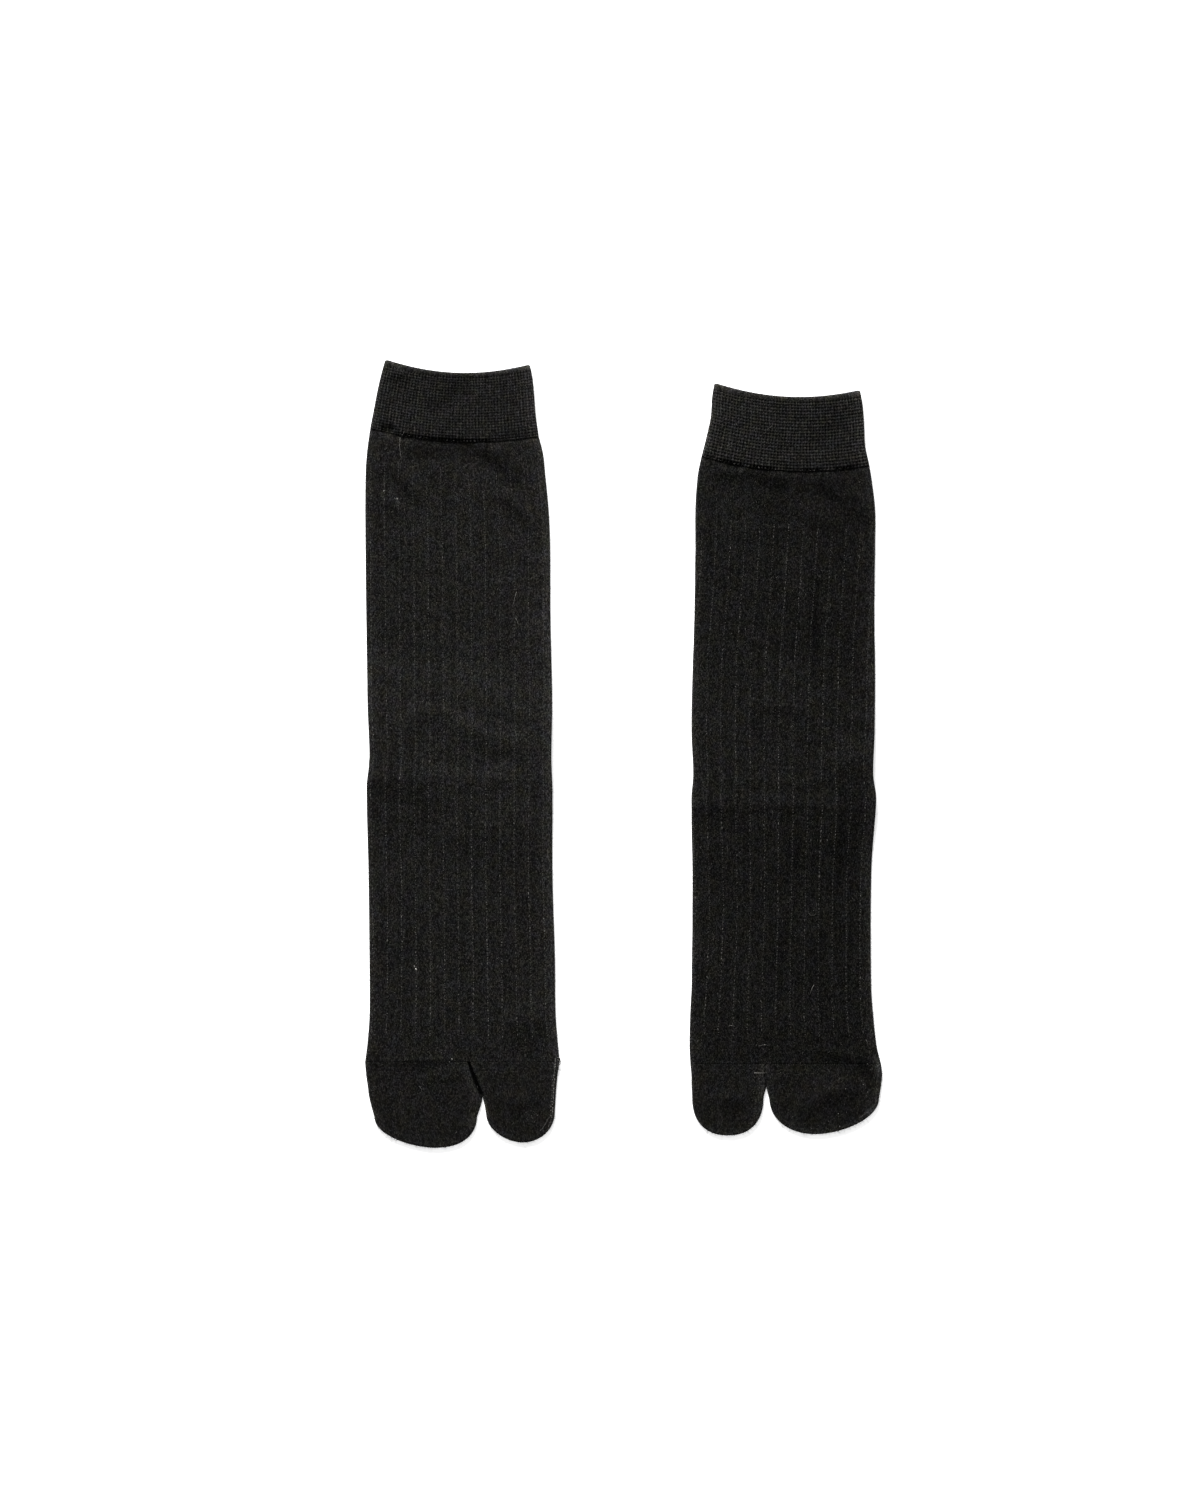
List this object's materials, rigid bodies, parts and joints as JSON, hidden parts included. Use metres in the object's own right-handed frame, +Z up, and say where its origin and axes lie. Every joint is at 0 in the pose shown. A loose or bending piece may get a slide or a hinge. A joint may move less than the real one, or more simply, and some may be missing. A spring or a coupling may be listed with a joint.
{
  "type": "pair of tabi socks",
  "caption": "Pair of fine-knit black split-toe (tabi) crew socks with dotted pinstripes and ribbed cuffs, laid flat side by side, instep up.",
  "frame": {"origin": "on the surface that the socks lie on, under the middle of the pair", "axes": "+Y from the toes to the cuffs, +X from the wearer's right sock to the left one, +Z up out of the insteps"},
  "size_m": [0.2541, 0.3872, 0.0064],
  "materials": {
    "striped_knit": "matt fine-gauge plain knit, black, with dotted dark-grey pinstripes",
    "rib_knit": "matt mock-rib double knit, black",
    "toe_knit": "matt fine-gauge plain knit, black"
  },
  "bodies": {
    "root": {"right_cuff": "rib_knit", "right_body": "striped_knit", "right_heel": "striped_knit", "right_outer_toes": "toe_knit", "right_big_toe": "toe_knit", "left_cuff": "rib_knit", "left_body": "striped_knit", "left_heel": "striped_knit", "left_outer_toes": "toe_knit", "left_big_toe": "toe_knit"}
  },
  "joints": []
}
